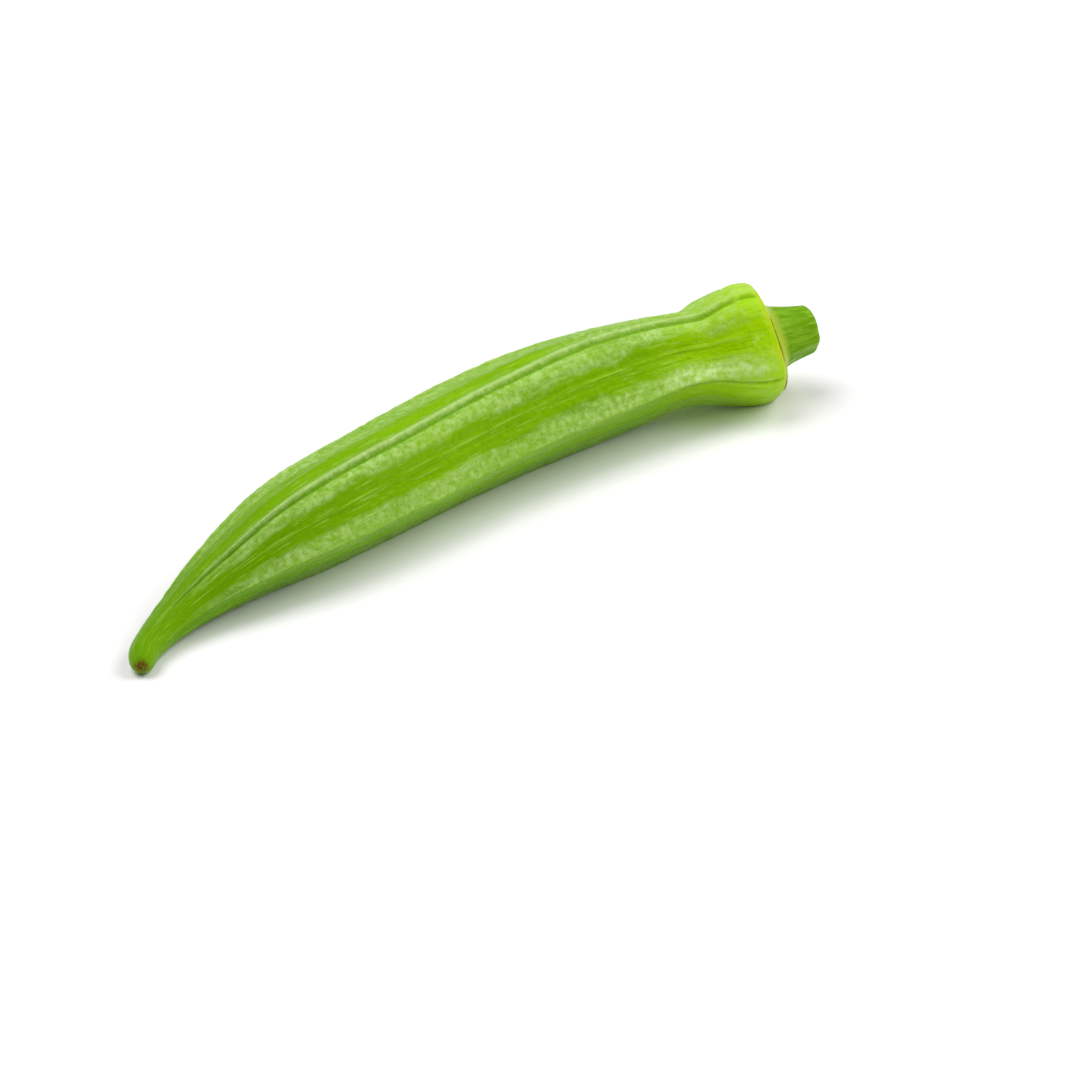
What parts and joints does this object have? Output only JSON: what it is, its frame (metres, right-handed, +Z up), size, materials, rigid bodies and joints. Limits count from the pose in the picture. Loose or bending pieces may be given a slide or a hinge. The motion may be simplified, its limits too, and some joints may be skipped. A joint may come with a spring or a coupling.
{
  "type": "okra pod",
  "caption": "Curved, ridged okra pod lying on its side, with a flared cap, a short cut stem and a narrow hooked tip.",
  "frame": {"origin": "middle of the pod's footprint, on the surface it lies on", "axes": "+X from the tip toward the cut stem, +Y toward the outer side of the bow, +Z up"},
  "size_m": [0.1288, 0.0256, 0.0192],
  "materials": {
    "peel": "satin green peel with a fine velvety fuzz"
  },
  "bodies": {
    "root": {"okra_pod": "peel"}
  },
  "joints": []
}
